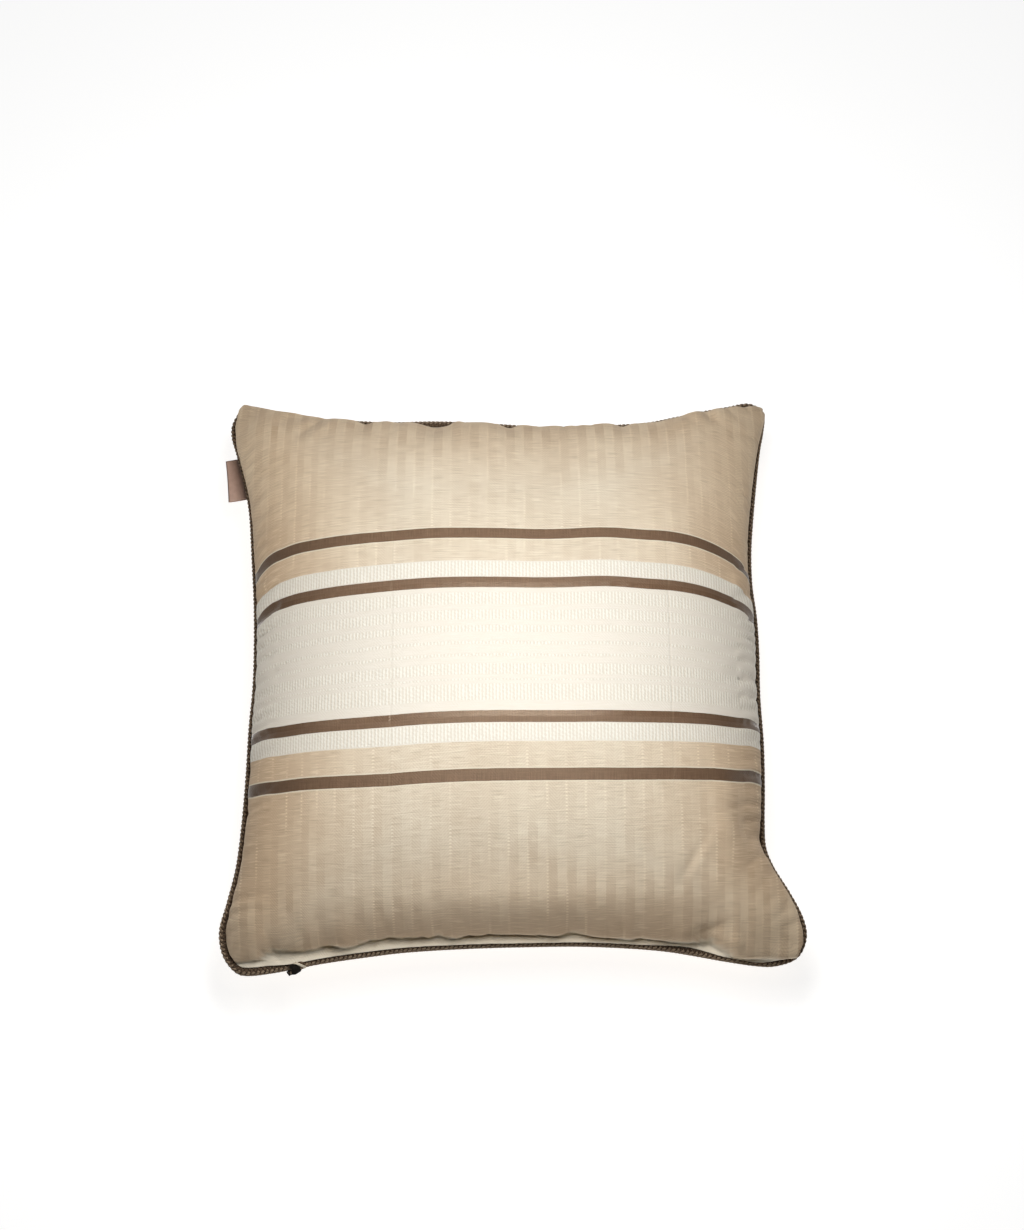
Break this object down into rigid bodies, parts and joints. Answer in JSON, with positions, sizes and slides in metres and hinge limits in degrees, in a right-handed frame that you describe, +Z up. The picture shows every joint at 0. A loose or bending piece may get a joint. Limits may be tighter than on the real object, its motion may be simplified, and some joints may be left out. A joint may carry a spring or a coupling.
{
  "type": "scatter cushion",
  "caption": "Square filled scatter cushion with a striped herringbone cover, braided piping in the seam and a small side label, lying on its back.",
  "frame": {"origin": "middle of the flat patch of the back face that the cushion rests on", "axes": "+X to the right across the front face, along the stripes; +Y towards the top edge; +Z up, out of the front face"},
  "size_m": [0.4914, 0.5053, 0.1411],
  "materials": {
    "cover_fabric": "matt linen and cotton herringbone with satin stripes",
    "piping_braid": "matt braided cord in dark brown and tan",
    "label_tape": "smooth woven tape, plain"
  },
  "bodies": {
    "root": {"cushion": "cover_fabric", "piping": "piping_braid", "label": "label_tape"}
  },
  "joints": []
}
